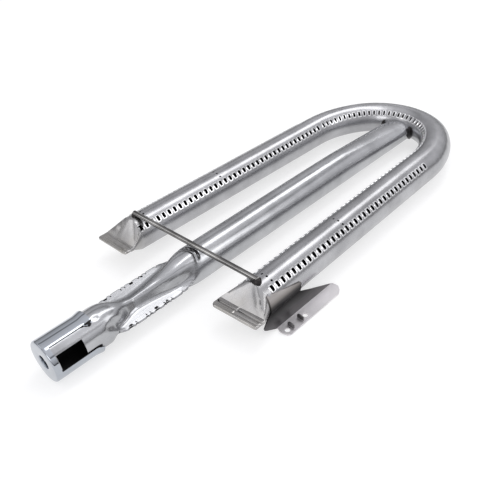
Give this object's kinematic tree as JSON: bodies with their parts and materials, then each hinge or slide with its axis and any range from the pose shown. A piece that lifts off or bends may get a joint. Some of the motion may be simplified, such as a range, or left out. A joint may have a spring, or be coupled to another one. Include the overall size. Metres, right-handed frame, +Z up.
{
  "type": "burner assembly",
  "caption": "Bent-tube gas burner with slotted ports, a central mixer tube with pressed throat, a turning air shutter, a brace rod and an igniter bracket.",
  "frame": {"origin": "centre of the gas inlet hole on the air shutter's front face", "axes": "+Y from the inlet towards the bend, +X towards the leg with the bracket, +Z up, the side the rod is on and the ports face"},
  "size_m": [0.1979, 0.4861, 0.0411],
  "materials": {
    "tube_steel": "satin",
    "mixer_steel": "satin",
    "shutter_steel": "bright",
    "rod_steel": "satin",
    "weld": "rough",
    "bracket_steel": "bright"
  },
  "bodies": {
    "burner": {"burner_tube": "tube_steel", "mixer_tube": "mixer_steel", "brace_rod": "rod_steel", "rod_weld_left": "weld", "rod_weld_right": "weld", "mixer_weld_beads": "weld", "igniter_bracket": "bracket_steel", "bracket_tack_welds": "weld"},
    "air_shutter": {"air_shutter": "shutter_steel"}
  },
  "joints": [
    {"name": "shutter_turn", "type": "hinge", "parent": "burner", "child": "air_shutter", "pos_m": [0, 0.02, 0], "axis": [0, 1, 0], "range_deg": [-45, 31]}
  ]
}
